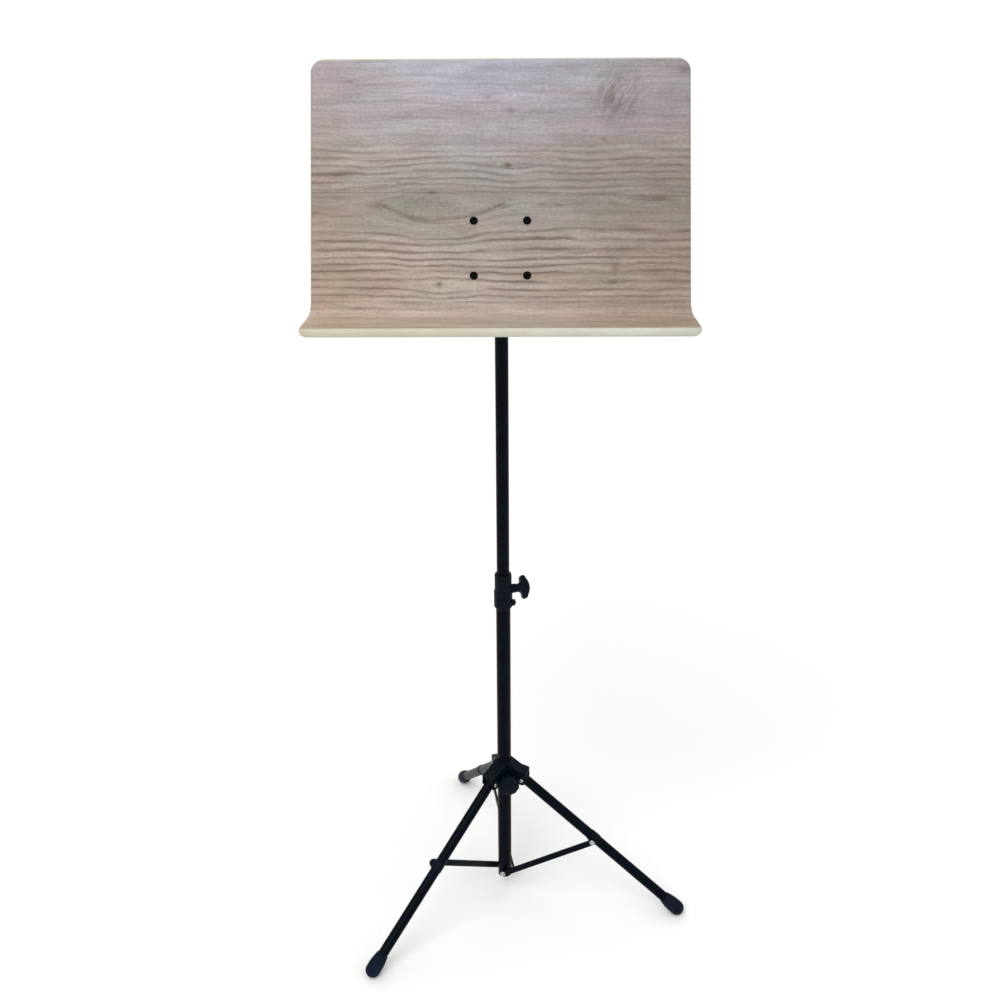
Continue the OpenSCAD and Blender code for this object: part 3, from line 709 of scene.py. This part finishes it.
def bent(across, up, deep):
    """A point of the flat sheet, bent, leaned back and put in place: up is along the front surface."""
    if up >= BEND_START:
        y, z = deep, up
    else:
        turn = min((BEND_START - up) / BEND_R, BEND_TURN)
        y = -BEND_R + (BEND_R + deep) * math.cos(turn)
        z = BEND_START - (BEND_R + deep) * math.sin(turn)
        rest = max(BEND_END - up, 0.0)
        y -= rest * math.sin(turn)
        z -= rest * math.cos(turn)
    y -= PIVOT_BACK
    back = y * math.cos(TILT) + z * math.sin(TILT)
    high = PIVOT_Z - y * math.sin(TILT) + z * math.cos(TILT)
    return Vector((across, back, high))


def half_width(up):
    """Half the sheet's width at a height along its front surface: it flares at the bend."""
    if up >= BEND_START:
        level = up
    else:
        level = BEND_START - BEND_R * math.sin(min((BEND_START - up) / BEND_R, BEND_TURN))
    drop = min(max(FLARE_TOP - level, 0.0), FLARE_DROP)
    return HALF_WIDTH + FLARE_R - math.sqrt(FLARE_R**2 - drop**2)


def corner(mid_x, mid_y, radius, start, steps):
    """A quarter turn of outline about a middle, from its start in degrees."""
    turns = [math.radians(start + 90 * i / steps) for i in range(steps + 1)]
    return [(mid_x + radius * math.cos(a), mid_y + radius * math.sin(a)) for a in turns]


def sheet_outline():
    """The flat sheet's outline with normals, counter-clockwise from the right end of its lower edge."""
    level = SHEET_END + LIP_CORNER
    right = corner(half_width(SHEET_END) - LIP_CORNER, level, LIP_CORNER, -90, LIP_STEPS)
    while level < FLARE_TOP + FLARE_LEAD:
        level += FLARE_STEP
        right.append((half_width(level), level))
    right += [(HALF_WIDTH, level) for level in FLAT_ROWS]
    right += corner(HALF_WIDTH - TOP_CORNER, TOP - TOP_CORNER, TOP_CORNER, 0, TOP_STEPS)
    points = right + [(-x, y) for x, y in reversed(right)]
    normals = []
    for i, here in enumerate(points):
        before, after = points[i - 1], points[(i + 1) % len(points)]
        a = Vector((here[1] - before[1], before[0] - here[0])).normalized()
        b = Vector((after[1] - here[1], here[0] - after[0])).normalized()
        normals.append((a + b).normalized())
    return points, normals


def bent_sheet(name, rings):
    """A bent sheet from rings round its outline: each gives (inset, depth) from the edge's normal."""
    points, normals = sheet_outline()
    bm = bmesh.new()
    rows = []
    for ring in rings:
        row = []
        for (x, y), n in zip(points, normals):
            inset, deep = ring(n)
            row.append(bm.verts.new((x - n.x * inset, y - n.y * inset, deep)))
        rows.append(row)
    count = len(points)
    for low, high in zip(rows, rows[1:]):
        for i in range(count):
            j = (i + 1) % count
            bm.faces.new((low[i], low[j], high[j], high[i]))
    bm.faces.new(rows[0][::-1])
    bm.faces.new(rows[-1])
    bend_rows = [BEND_START - BEND_R * BEND_TURN * i / BEND_STEPS for i in range(1, BEND_STEPS + 1)]
    for level in (BEND_START + BEND_LEAD, BEND_START, *bend_rows, BEND_END - BEND_TAIL, *FLAT_ROWS):
        everything = bm.verts[:] + bm.edges[:] + bm.faces[:]
        bmesh.ops.bisect_plane(bm, geom=everything, dist=1e-7, plane_co=(0, level, 0), plane_no=(0, 1, 0))
    flat = [v.co.copy() for v in bm.verts]
    for v in bm.verts:
        v.co = bent(*v.co)
    bmesh.ops.recalc_face_normals(bm, faces=bm.faces)
    mesh = mesh_of(bm, name)
    store = mesh.attributes.new("sheet", "FLOAT_VECTOR", "POINT")
    store.data.foreach_set("vector", [c for co in flat for c in co])
    mesh.shade_smooth()
    return baked(mesh, ("WEIGHTED_NORMAL", {"keep_sharp": True, "weight": 60}))


def level_ring(inset, deep):
    """A ring with the same inset and depth all round."""
    return lambda normal: (inset, deep)


def print_ring(share, extra):
    """A ring of the print on the board's rounding, from its edge at share 0 to where it is flat at 1."""
    def ring(normal):
        border = BORDER_SIDE * normal.x**2 + BORDER_END * normal.y**2
        inset = border + (PRINT_CURVE - border) * share
        short = max(FRONT_ROUND - inset, 0.0)
        drop = FRONT_ROUND - math.sqrt(max(FRONT_ROUND**2 - short**2, 0.0))
        return inset, drop + extra

    return ring


def make_board():
    """The board, from its rounded back edge to its rounded front edge."""
    turns = [math.radians(90 * i / EDGE_STEPS) for i in range(EDGE_STEPS + 1)]
    back_deep = SHEET_THICK - BACK_ROUND
    front_deep = PRINT_THICK + FRONT_ROUND
    rings = []
    for a in reversed(turns):
        rings.append(level_ring(BACK_ROUND * (1 - math.cos(a)), back_deep + BACK_ROUND * math.sin(a)))
    for a in turns:
        rings.append(level_ring(FRONT_ROUND * (1 - math.cos(a)), front_deep - FRONT_ROUND * math.sin(a)))
    finish_piece("desk_board_bent", bent_sheet("desk_board_bent", rings), "desk_board")


def make_print():
    """The printed laminate: its back, let into the board, then its front."""
    shares = (1.0, 0.66, 0.33, 0.0)
    under = [print_ring(share, PRINT_THICK + PRINT_SUNK) for share in shares]
    over = [print_ring(share, PRINT_EASE if share == 0 else 0.0) for share in reversed(shares)]
    finish_piece("desk_laminate_bent", bent_sheet("desk_laminate_bent", under + over), "desk_laminate")


# ---------------------------------------------------------------- legs and rivets

# A foot's outline from its upper rim to its round end, in millimetres: distance down the leg from the middle
# of that end, and radius.
FOOT_PROFILE = (
    (-27.5, 8.15), (-27.9, 8.6), (-27.3, 9.1), (-25.6, 9.6), (-22.0, 10.3), (-17.5, 11.1), (-12.0, 11.75),
    (-6.0, 12.0), (0.0, 12.0), (3.6, 11.42), (6.6, 9.98), (9.0, 7.88), (10.6, 5.55), (11.5, 3.0),
    (11.9, 0.0),
)
FOOT_STEPS = 48
# How high the middle of the foot's round end is.
FOOT_END_UP = 0.0116
# The leg clip's band: its radius, and how much thicker it is in the CAD.
BAND_R = 0.0089
BAND_EXTRA = 0.0017
# A hub rivet's pin, how far out of it the head's points start, and the share kept of how far out they are.
PIN_R = 0.0025
HEAD_FROM = 1e-4
HEAD_SHARE = 0.43


def leg_line(leg):
    """A leg's pivot, the middle of its foot's round end, and the direction between them."""
    pivot = Vector(JOINTS[f"leg_{leg}_fold"]["pos_m"])
    end = Vector(MOUNTS[f"foot_{leg}"]["pos_m"])
    end.z = FOOT_END_UP
    return pivot, end, (end - pivot).normalized()


def turned(name, profile, base, along):
    """A turned form with a closed end: profile is (distance along the axis, radius) in millimetres."""
    bm = bmesh.new()
    z = along.normalized()
    x = z.orthogonal().normalized()
    y = z.cross(x)
    turns = [2 * math.pi * i / FOOT_STEPS for i in range(FOOT_STEPS)]
    spokes = [x * math.cos(a) + y * math.sin(a) for a in turns]
    *rims, (tip_at, _) = profile
    rows = []
    for at, radius in rims:
        centre = base + z * at * MM
        rows.append([bm.verts.new(centre + spoke * radius * MM) for spoke in spokes])
    tip = bm.verts.new(base + z * tip_at * MM)
    for low, high in zip(rows, rows[1:]):
        for i in range(FOOT_STEPS):
            j = (i + 1) % FOOT_STEPS
            bm.faces.new((low[i], low[j], high[j], high[i]))
    for i in range(FOOT_STEPS):
        bm.faces.new((rows[-1][i], rows[-1][(i + 1) % FOOT_STEPS], tip))
    bm.faces.new(rows[0][::-1])
    bmesh.ops.recalc_face_normals(bm, faces=bm.faces)
    return mesh_of(bm, name)


def rest_on_floor(mesh):
    """Lifts each point that is below the floor up to it."""
    for v in mesh.vertices:
        v.co.z = max(v.co.z, 0.0)


def make_foot(leg):
    """A rubber foot, turned about the leg's line and pressed flat where it meets the floor."""
    _, end, along = leg_line(leg)
    mesh = turned(f"foot_{leg}_rubber", FOOT_PROFILE, end, along)
    rest_on_floor(mesh)
    mesh = baked(mesh, ("SUBSURF", {"levels": 1, "render_levels": 1}))
    rest_on_floor(mesh)
    mesh.shade_smooth()
    finish_piece(f"foot_{leg}_rubber", mesh, f"foot_{leg}")


def slim_clip(leg):
    """The leg clip's form with its band drawn in close to the tube."""
    pivot, _, along = leg_line(leg)
    mesh = cad_copy(f"leg_clip_{leg}")
    for v in mesh.vertices:
        off = v.co - pivot
        off -= along * off.dot(along)
        if BAND_R < off.length < BAND_R + BAND_EXTRA:
            v.co += off * (BAND_R / off.length - 1)
    return mesh


def small_heads():
    """The hub rivets' form with neater heads."""
    mesh = cad_copy("hub_rivets")
    pins = [JOINTS[f"leg_{leg}_fold"] for leg in LEGS]
    for v in mesh.vertices:
        pin = min(pins, key=lambda joint: (v.co - Vector(joint["pos_m"])).length)
        axis = Vector(pin["axis"]).normalized()
        off = v.co - Vector(pin["pos_m"])
        off -= axis * off.dot(axis)
        beyond = off.length - PIN_R
        if beyond > HEAD_FROM:
            v.co += off * ((PIN_R + beyond * HEAD_SHARE) / off.length - 1)
    return mesh


# ---------------------------------------------------------------- stage

FLOOR_HALF = 150.0
FLOOR_COLOUR = (0.93, 0.93, 0.92)
WORLD_LIGHT = 0.62
WHITE = (1.0, 1.0, 1.0, 1)
# Each sun: how it is turned, in degrees, its power, and how many degrees wide it is.
SUNS = {
    "key": ((38, 0, -28), 1.35, 40),
    "fill": ((52, 0, 62), 0.5, 60),
    "back": ((-50, 0, 20), 0.4, 60),
}


def make_floor():
    """A plain pale floor that reaches the horizon."""
    floor = bpy.data.objects.new("floor", bpy.data.meshes.new("floor"))
    bpy.context.scene.collection.objects.link(floor)
    corners = [(x * FLOOR_HALF, y * FLOOR_HALF, 0) for x, y in ((-1, -1), (1, -1), (1, 1), (-1, 1))]
    floor.data.from_pydata(corners, [], [(0, 1, 2, 3)])
    s = Shader("floor")
    s.set(base_color=FLOOR_COLOUR, roughness=0.9)
    s.specular(0.0)
    floor.data.materials.append(s.material)


def make_world():
    """Soft white light from all round, with a white backdrop behind the floor."""
    world = bpy.data.worlds.new("studio")
    bpy.context.scene.world = world
    world.use_nodes = True
    tree = world.node_tree
    light = tree.nodes["Background"]
    light.inputs["Color"].default_value = WHITE
    light.inputs["Strength"].default_value = WORLD_LIGHT
    backdrop = tree.nodes.new("ShaderNodeBackground")
    backdrop.inputs["Color"].default_value = WHITE
    seen = tree.nodes.new("ShaderNodeMixShader")
    tree.links.new(seen.inputs[0], tree.nodes.new("ShaderNodeLightPath").outputs["Is Camera Ray"])
    tree.links.new(seen.inputs[1], light.outputs[0])
    tree.links.new(seen.inputs[2], backdrop.outputs[0])
    tree.links.new(tree.nodes["World Output"].inputs["Surface"], seen.outputs[0])


def make_suns():
    """Three broad suns for the soft shadows."""
    for name, (turn, power, wide) in SUNS.items():
        data = bpy.data.lights.new(name, "SUN")
        data.energy = power
        data.angle = math.radians(wide)
        lamp = bpy.data.objects.new(name, data)
        lamp.rotation_euler = tuple(math.radians(a) for a in turn)
        bpy.context.scene.collection.objects.link(lamp)


# ---------------------------------------------------------------- the scene

# Each moulded node: voxel size, rounds of smoothing, share of the faces kept.
MOULDED = {
    "hub_body": (0.0005, 3, 0.35),
    "clamp_collar": (0.0004, 2, 0.5),
    "height_knob": (0.0004, 5, 0.5),
    "tilt_knob": (0.0004, 5, 0.5),
    "hub_knob": (0.0004, 4, 0.4),
    "tilt_head": (0.0005, 2, 0.5),
    "bottom_plug": (0.0005, 2, 0.5),
}
CLIP_MOULD = (0.0003, 3, 0.4)
# How wide the broken edges are.
STRUT_EDGE = 0.0005
RIVET_EDGE = 0.0002
TILT_EDGE = 0.0004

make_camera()
make_floor()
make_world()
make_suns()
bpy.context.scene.view_settings.view_transform = "Standard"

# The CAD nodes that no piece replaces are shown as they are.
for cad_node, cad_object in frame["nodes"].items():
    cad_object.data.materials.clear()
    cad_object.data.materials.append(MATERIALS[SLOT_OF[cad_node]])

make_board()
make_print()
for leg_name in LEGS:
    make_foot(leg_name)
for cad_node, mould in MOULDED.items():
    moulded(cad_node, cad_copy(cad_node), *mould)
for leg_name in LEGS:
    strut = f"strut_{leg_name}"
    moulded(f"leg_clip_{leg_name}", slim_clip(leg_name), *CLIP_MOULD)
    broken_edges(strut, cad_copy(strut), STRUT_EDGE)
broken_edges("hub_rivets", small_heads(), RIVET_EDGE)
for cad_node in ("tilt_bracket", "desk_washers", "desk_nuts", "tilt_bolt"):
    broken_edges(cad_node, cad_copy(cad_node), TILT_EDGE)
